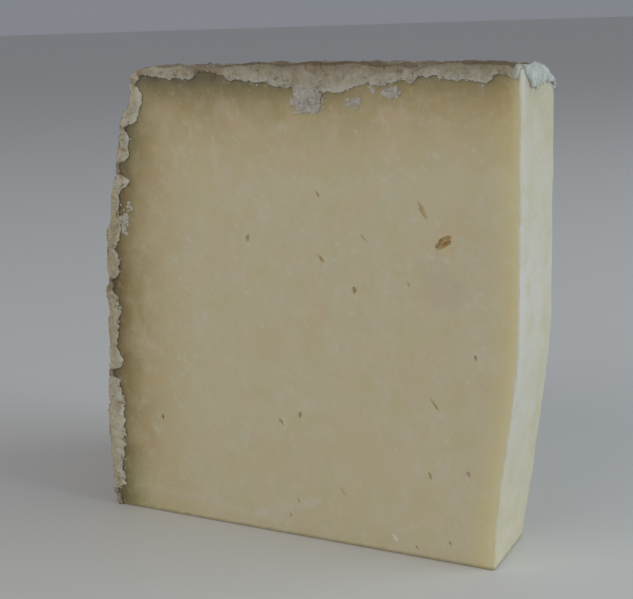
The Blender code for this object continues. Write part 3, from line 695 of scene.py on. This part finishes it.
crumbs = {  # in mm; clusters on the front: place, drop from the top, spread along and down, how many, sizes
    "clusters": (
        (-48.0, 8.6, 3.0, 1.9, 210, 0.25, 0.85), (-49.8, 10.4, 1.5, 1.1, 60, 0.2, 0.7),
        (-46.2, 10.6, 1.3, 1.1, 50, 0.2, 0.7), (-30.8, 6.2, 0.5, 1.0, 16, 0.3, 0.6),
        (-26.0, 7.0, 1.7, 0.9, 60, 0.35, 0.8), (-35.6, 9.2, 1.9, 0.8, 40, 0.3, 0.7),
        (-103.6, 37.5, 0.8, 1.3, 16, 0.3, 0.6), (-105.4, 40.4, 0.9, 1.4, 22, 0.3, 0.7),
        (-105.9, 43.6, 1.3, 1.3, 26, 0.3, 0.7)),
    "spread": 0.6, "flat": 0.75, "over": 0.75, "seed": 5,
    # loose ones near the lips' edges: how many, sizes, share on the top and at the back, places and heights
    "count": 220, "smallest": 0.15, "largest": 0.5, "sizePower": 2.2, "topShare": 0.55, "backShare": 0.4,
    "places": (-92, 2), "heights": (1, 116), "past": 0.5,
    "stretch": (0.55, 1.2), "dented": 0.42,
}


def makeCrumbs():  # angular lumps in clusters, on both lips' edges and a little beyond them
    draw = np.random.default_rng(crumbs["seed"])
    ball = bmesh.new()
    bmesh.ops.create_icosphere(ball, subdivisions=2, radius=1)
    base = np.array([vert.co[:] for vert in ball.verts])
    faces = np.array([[vert.index for vert in face.verts] for face in ball.faces])
    ball.free()
    places, sizes = [], []
    for x, drop, along, down, count, small, large in crumbs["clusters"]:
        spot = draw.normal(size=(count, 2)) * (along, down) * crumbs["spread"] + (x, -drop)
        overLip = smooth(edgeDepth(spot[:, 0], "topEdge", 31) + spot[:, 1])  # 1 where the lip hangs lower
        onFront = frontY + 0.1 - crumbs["over"] * overLip * (drop < 15)
        places.append(joined(cornerX + spot[:, 0], onFront, wheelTop + spot[:, 1]))
        sizes.append(draw.uniform(small, large, count))
    count = crumbs["count"]
    atTop = draw.uniform(size=count) < crumbs["topShare"]
    atBack = draw.uniform(size=count) < crumbs["backShare"]
    place = np.where(atTop, draw.uniform(*crumbs["places"], count), draw.uniform(*crumbs["heights"], count))
    lip = np.where(atTop, edgeDepth(place, "topEdge", 31), edgeDepth(place, "sideEdge", 32))
    flipped = np.where(atTop, edgeDepth(place, "topEdge", 33, True), edgeDepth(place, "sideEdge", 34, True))
    drop = np.where(atBack, flipped, lip) + draw.exponential(crumbs["past"], count) - crumbs["past"]
    height = np.where(atTop, wheelTop - drop, place)
    radius = np.where(atTop, wheel["axisToCorner"] - place, sideRadius(place) - drop)
    places.append(wheelPoint(radius, np.where(atBack, wedgeAngle, 0.0), height))
    drawn = draw.uniform(size=count) ** crumbs["sizePower"]
    sizes.append(crumbs["smallest"] + (crumbs["largest"] - crumbs["smallest"]) * drawn)
    places, sizes = np.concatenate(places), np.concatenate(sizes)
    stretch = draw.uniform(*crumbs["stretch"], (len(sizes), 3)) * sizes[:, None]
    turns = np.linalg.qr(draw.normal(size=(len(sizes), 3, 3)))[0]
    turns *= np.sign(np.linalg.det(turns))[:, None, None]
    shifts = draw.uniform(-90, 90, (len(sizes), 1, 3))
    dents = 1 + crumbs["dented"] * fractal(base[None] * 1.1 + shifts, 0.9, 2, 131)
    points = base[None] * dents[..., None] * stretch[:, None]
    points = np.einsum("cpi,cij->cpj", points, turns) * (1, crumbs["flat"], 1) + places[:, None]
    points[..., 2] = np.maximum(points[..., 2], 0.05)
    allFaces = faces[None] + len(base) * np.arange(len(sizes))[:, None, None]
    thing = meshFrom("rindCrumbs", points.reshape(-1, 3), allFaces.reshape(-1, 3))
    lift, crumb = (draw.uniform(least, 1.0, (len(sizes), 1)) for least in (0.4, 0.5))
    addAttributes(thing, (len(sizes), len(base)), lift=lift, crumb=crumb)
    return thing


# paste

paste = {  # in mm
    "inset": 2.2, "topInset": 2.0, "cornerDrop": 0.7, "foot": 0.5, "cornerRound": 0.55, "levelCount": 204,
    "frontStations": 190, "noseStations": 46, "backStations": 150, "sideStations": 10, "cornerStations": 5,
    "swell": 0.1, "swellSize": 9, "crumbRise": 0.045, "crumbSize": 1.7,
    "nicks": ((88, 1.6, 1.0), (52, 2.5, 1.4), (30, 1.2, 0.6), (107, 1.3, 0.6)),  # height, half width, more rounding
    "crumbSlant": ((0.77, 0, 0.64), (0, 1, 0), (-0.28, 0, 0.34)),  # the crumb's grain slants down to the right
    "topFrom": 116, "topFade": 6, "hollowFrom": 2, "hollowFade": 4,
    "cornerReach": 14, "cornerFrom": 14, "cornerFade": 10,
}


def bend(first, control, last, count):  # quadratic curve from first to last
    t = np.linspace(0, 1, count)[:, None, None]
    return first * (1 - t) ** 2 + control * 2 * t * (1 - t) + last * t * t


def line(first, last, count):  # straight run of stations, leaving out its end
    t = np.linspace(0, 1, count, endpoint=False)[:, None, None]
    return first * (1 - t) + last * t


def makePaste():  # one closed ring a level: front, nose, chip, back and side, from the foot up to under the rind
    level = np.concatenate([paste["foot"] * np.array((0, 0.12, 0.3, 0.6)),
                            np.linspace(paste["foot"], wheelTop - paste["topInset"], paste["levelCount"])])
    tuck = paste["foot"] * (1 - np.sqrt(1 - np.clip(1 - level / paste["foot"], 0, 1) ** 2))
    cutY = frontY + tuck
    noseX = cornerX + noseLean(level) - tuck
    rimRadius = outerRadius(level) - paste["inset"]

    def onBack(radius):  # a place on the back cut, tucked in at the foot
        point = wheelPoint(radius, wedgeAngle, level)
        point[:, 1] -= tuck
        return point

    size = paste["cornerRound"] * (1 + 0.5 * fractal(joined(level, 0, 0), 6, 3, 91))
    for middle, halfWidth, more in paste["nicks"]:
        size += more * hump(level, middle, halfWidth)
    chip = np.clip(1 - level / wheel["chipHeight"], 0, 1) ** 1.3
    backNose = (axisX - noseX) / math.cos(wedgeAngle)
    backCorner = onBack(backNose)
    chipFrom = backCorner - joined(0, wheel["chipDepth"] * chip + 0.8, 0)
    chipTo = onBack(backNose + wheel["chipWidth"] * chip + 0.8)
    flat = smooth(chip * 4)[:, None]
    chipBend = backCorner * (1 - flat) + (chipFrom + chipTo) / 2 * flat

    frontRim = joined(axisX - rimRadius, cutY, level)
    nearFront, nearNose = joined(noseX - size, cutY, level), joined(noseX, cutY + size, level)
    ring = [line(frontRim, nearFront, paste["frontStations"]),
            bend(nearFront, joined(noseX, cutY, level), nearNose, paste["cornerStations"])[:-1],
            line(nearNose, chipFrom, paste["noseStations"]),
            bend(chipFrom, chipBend, chipTo, paste["cornerStations"])[:-1],
            line(chipTo, onBack(rimRadius), paste["backStations"])]
    angles = np.linspace(wedgeAngle, 0, paste["sideStations"], endpoint=False)
    ring.append(np.stack([wheelPoint(rimRadius, angle, level) for angle in angles]))
    grid = np.concatenate(ring)
    cutRows = sum(len(part) for part in ring[:-1])

    shown = np.zeros(len(grid))
    shown[:cutRows] = smooth(np.minimum(np.arange(cutRows), np.arange(cutRows)[::-1]) / 3)
    points = grid.reshape(-1, 3)
    swell = fractal(points, paste["swellSize"], 3, 101).reshape(grid.shape[:2]) * paste["swell"]
    slant = points @ np.array(paste["crumbSlant"])
    crumb = fractal(slant, paste["crumbSize"], 3, 111).reshape(grid.shape[:2]) * paste["crumbRise"]
    rise = (swell + crumb) * shown[:, None] * smooth(level / 1.2)
    grid = grid + gridNormals(grid) * rise[..., None]

    # the top keeps under the rind's hollows, and under its drop at the nose's back corner
    above = grid.copy()
    above[..., 2] = wheelTop
    near = smooth((grid[..., 2] - paste["topFrom"]) / paste["topFade"])
    behind = grid[..., 1] - frontY
    hollow = np.minimum(reliefAt(above), 0) * smooth((behind - paste["hollowFrom"]) / paste["hollowFade"])
    corner = hump(grid[..., 0] - cornerX, wheel["noseLean"], paste["cornerReach"])
    corner = corner * smooth((behind - paste["cornerFrom"]) / paste["cornerFade"])
    grid[..., 2] += near * (hollow - paste["cornerDrop"] * corner)
    return closedTube("cheesePaste", grid)


openings = {  # on the front face, in mm and degrees: place, height, length, width, lean from upright, depth
    "front": (
        (-13.2, 82.3, 4.9, 2.7, -52, 1.4), (-18.3, 90.2, 4.4, 1.3, 32, 0.45), (-46.1, 93.0, 1.8, 0.6, 30, 0.4),
        (-66.9, 81.0, 2.2, 1.1, -20, 0.6), (-45.7, 76.6, 2.6, 1.1, 45, 0.55), (-33.9, 82.7, 2.2, 0.6, 50, 0.4),
        (-36.7, 69.3, 1.9, 1.1, 10, 0.7), (-22.1, 71.7, 1.7, 0.5, 30, 0.4), (-96.9, 28.7, 1.4, 0.8, 20, 0.5),
        (-59.1, 31.9, 2.0, 0.8, 35, 0.5), (-53.3, 34.6, 1.9, 0.9, -10, 0.5), (-15.5, 41.6, 3.6, 0.8, 35, 0.4),
        (-6.9, 24.7, 1.8, 0.8, 20, 0.5), (-16.9, 22.8, 2.2, 0.6, 15, 0.4), (-41.3, 14.8, 2.2, 0.7, 40, 0.4),
        (-4.8, 54.7, 1.8, 0.8, 15, 0.5), (-54.7, 10.1, 1.4, 0.5, 30, 0.35), (-57.3, 5.6, 1.4, 0.6, 10, 0.35),
        (-11.8, 5.5, 1.2, 0.6, 20, 0.4), (-20.7, 2.6, 1.3, 0.5, 40, 0.35)),
    "backCount": 14, "backDepth": 0.7, "seed": 23, "dented": 0.35, "sharpAngle": 45,
    # on the back: shares of the height and of the wheel's radius, half widths and half lengths
    "backHeights": (0.08, 0.88), "backRadii": (0.5, 0.9), "backWidths": (0.3, 0.6), "backLengths": (0.7, 1.6),
}


def lumpMesh(name, place, size, turn, fineness, draw, home):  # an icosphere stretched, turned and dented
    mesh = bmesh.new()
    bmesh.ops.create_icosphere(mesh, subdivisions=fineness, radius=1)
    spin = np.array(Euler(turn).to_matrix())
    points = np.array([vert.co[:] for vert in mesh.verts])
    faces = np.array([[vert.index for vert in face.verts] for face in mesh.faces])
    mesh.free()
    shift = draw.uniform(-50, 50, 3)
    points *= (1 + openings["dented"] * fractal(points + shift, 0.8, 3, 121))[:, None]
    return meshFrom(name, points * np.array(size) @ spin.T + np.array(place), faces, home=home)


def cutOpenings(thing):  # the paste less all opening shapes, in one Boolean step
    cutters = bpy.data.collections.new("openingShapes")
    bpy.context.scene.collection.children.link(cutters)
    draw = np.random.default_rng(openings["seed"])
    made = []
    for i, (x, z, long, wide, lean, deep) in enumerate(openings["front"]):
        place = (cornerX + x, frontY, z)
        size = (wide / 2, deep, long / 2)
        made.append(lumpMesh(f"opening{i}", place, size, (0, -math.radians(lean), 0), 4, draw, cutters))
    for i in range(openings["backCount"]):
        height = draw.uniform(*openings["backHeights"]) * wheelTop
        radius = draw.uniform(*openings["backRadii"]) * wheel["radius"]
        width = draw.uniform(*openings["backWidths"])
        size = (width, openings["backDepth"], draw.uniform(*openings["backLengths"]))
        turn = (0, draw.uniform(-1, 1), -wedgeAngle)
        place = wheelPoint(radius, wedgeAngle, height)
        made.append(lumpMesh(f"backOpening{i}", place, size, turn, 3, draw, cutters))
    modifier = thing.modifiers.new("openings", "BOOLEAN")
    modifier.operation = "DIFFERENCE"
    modifier.operand_type = "COLLECTION"
    modifier.collection = cutters
    modifier.solver = "MANIFOLD"
    graph = bpy.context.evaluated_depsgraph_get()
    done = bpy.data.meshes.new_from_object(thing.evaluated_get(graph))
    thing.modifiers.clear()
    thing.data = done
    for cutter in made:
        bpy.data.objects.remove(cutter)
    bpy.data.collections.remove(cutters)
    thing.data.shade_smooth()
    thing.data.set_sharp_from_angle(angle=math.radians(openings["sharpAngle"]))


# camera, floor and light

shot = {  # metres from the front face's near bottom corner, degrees, and the lens for a 36 mm sensor
    "place": (0.0881, -0.265, 0.1351), "yaw": -27.09, "pitch": 13.06, "roll": 1.9, "lens": 68.25,
}


def makeCamera():  # looks along the solved yaw and pitch, rolled about its own axis
    yaw, pitch, roll = (math.radians(shot[name]) for name in ("yaw", "pitch", "roll"))
    ahead = Vector((math.sin(yaw) * math.cos(pitch), math.cos(yaw) * math.cos(pitch), -math.sin(pitch)))
    right = Vector((math.cos(yaw), -math.sin(yaw), 0))
    down = ahead.cross(right)
    across = right * math.cos(roll) + down * math.sin(roll)
    under = down * math.cos(roll) - right * math.sin(roll)
    camera = bpy.data.objects.new("camera", bpy.data.cameras.new("camera"))
    camera.data.lens = shot["lens"]
    camera.data.sensor_width = 36
    camera.data.clip_start = 0.01
    turn = Matrix((across, -under, -ahead)).transposed().to_4x4()
    corner = Vector((cornerX * mm, frontY * mm, 0))
    camera.matrix_world = Matrix.Translation(Vector(shot["place"]) + corner) @ turn
    bpy.context.scene.collection.objects.link(camera)
    bpy.context.scene.camera = camera


studio = {
    "floorColour": (0.8, 0.79, 0.76), "floorReach": 30.0,
    "world": (0.86, 0.9, 1.0), "worldStrength": 0.265,
    # name, place and size in metres, power, colour
    "lamps": (("rightLight", (1.1, 0.25, 0.75), 1.0, 6.4, (0.8, 0.92, 1.0)),
              ("frontLight", (-0.5, -1.1, 0.9), 1.2, 4.2, (1.0, 0.92, 0.8))),
}


def makeStudio():  # a pale floor, two soft lamps that look at the wedge, and a dim sky
    reach = studio["floorReach"] / mm
    corners = reach * np.array(((-1.0, -1, 0), (1, -1, 0), (1, 1, 0), (-1, 1, 0)))
    floor = meshFrom("floor", corners, np.array(((0, 1, 2, 3),)), boxed=False)
    colours = {"Base Color": (*studio["floorColour"], 1), "Roughness": 0.8}
    floor.data.materials.append(Paint("floorPaint").feed(colours))
    for name, place, size, power, colour in studio["lamps"]:
        lamp = bpy.data.lights.new(name, "AREA")
        lamp.size, lamp.energy, lamp.color = size, power, colour
        thing = bpy.data.objects.new(name, lamp)
        thing.location = place
        thing.rotation_mode = "QUATERNION"
        thing.rotation_quaternion = (Vector((0, 0, 0.06)) - thing.location).to_track_quat("-Z", "Y")
        bpy.context.scene.collection.objects.link(thing)
    world = bpy.data.worlds.new("studioWorld")
    world.use_nodes = True
    background = world.node_tree.nodes["Background"]
    background.inputs["Color"].default_value = (*studio["world"], 1)
    background.inputs["Strength"].default_value = studio["worldStrength"]
    bpy.context.scene.world = world
    bpy.context.scene.view_settings.view_transform = "Standard"


makeCamera()
makeStudio()
print("camera and studio ready")

pasteThing = makePaste()
cutOpenings(pasteThing)
pasteThing.data.materials.clear()
pasteThing.data.materials.append(pasteMaterial())
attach(pasteThing, "root")
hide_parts(nodeName)
print("paste ready:", len(pasteThing.data.polygons), "faces")

rindPaint = rindMaterial()
for rindThing in (makeRind(), makeNoseLip(), makeCrumbs()):
    rindThing.data.materials.append(rindPaint)
    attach(rindThing, "root")
    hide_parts(nodeName)
    print(rindThing.name, "ready:", len(rindThing.data.polygons), "faces")
